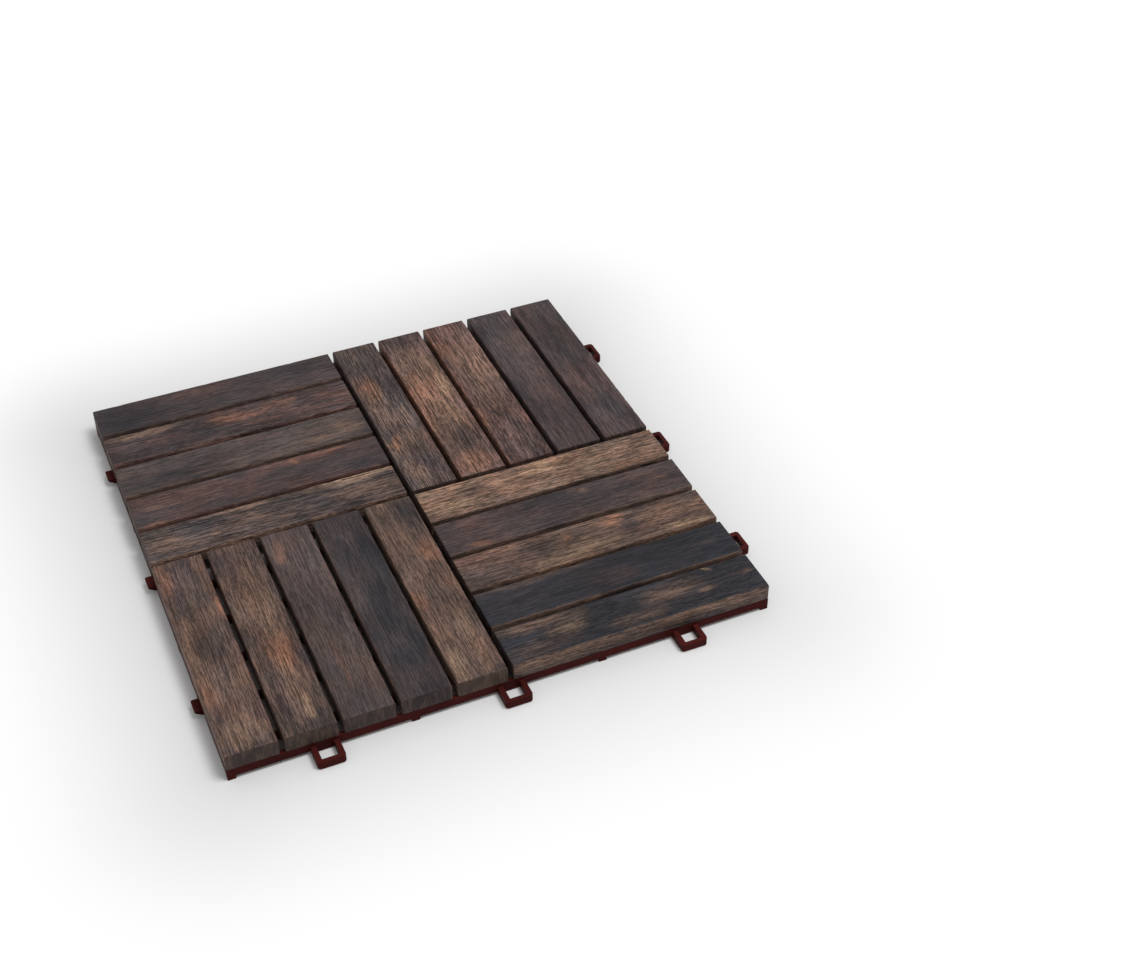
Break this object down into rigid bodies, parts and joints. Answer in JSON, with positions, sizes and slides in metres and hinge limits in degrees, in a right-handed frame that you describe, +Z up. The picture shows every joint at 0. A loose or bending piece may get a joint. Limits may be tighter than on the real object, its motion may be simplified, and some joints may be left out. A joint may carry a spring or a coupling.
{
  "type": "interlocking deck tile",
  "caption": "Square deck tile of stained hardwood slats in basket weave, screwed to an open moulded grid with loops and tabs that clip to the next tile.",
  "frame": {"origin": "on the ground, below the middle of the whole outline, loops and tabs included", "axes": "+Z up, square to the slats' tops; +X to the right edge with loops; +Y to the back edge with tabs"},
  "size_m": [0.3162, 0.3162, 0.017],
  "materials": {
    "grid_plastic": "dark red moulded plastic, lightly satin",
    "screw_steel": "zinc-plated steel",
    "wood_charcoal": "stained hardwood with an open lengthwise grain, satin",
    "wood_grey_brown": "stained hardwood with an open lengthwise grain, satin",
    "wood_red_brown": "stained hardwood with an open lengthwise grain, satin",
    "wood_dark_brown": "stained hardwood with an open lengthwise grain, satin",
    "wood_tan": "stained hardwood with an open lengthwise grain, satin",
    "wood_orange": "stained hardwood with an open lengthwise grain, satin"
  },
  "bodies": {
    "root": {"base_grid": "grid_plastic", "slat_back_left_1": "wood_grey_brown", "slat_back_left_2": "wood_red_brown", "slat_back_left_3": "wood_grey_brown", "slat_back_left_4": "wood_red_brown", "slat_back_left_5": "wood_charcoal", "slat_back_right_1": "wood_dark_brown", "slat_back_right_2": "wood_orange", "slat_back_right_3": "wood_red_brown", "slat_back_right_4": "wood_grey_brown", "slat_back_right_5": "wood_dark_brown", "slat_front_left_1": "wood_dark_brown", "slat_front_left_2": "wood_orange", "slat_front_left_3": "wood_grey_brown", "slat_front_left_4": "wood_charcoal", "slat_front_left_5": "wood_tan", "slat_front_right_1": "wood_charcoal", "slat_front_right_2": "wood_charcoal", "slat_front_right_3": "wood_tan", "slat_front_right_4": "wood_grey_brown", "slat_front_right_5": "wood_tan", "slat_screws": "screw_steel"}
  },
  "joints": []
}
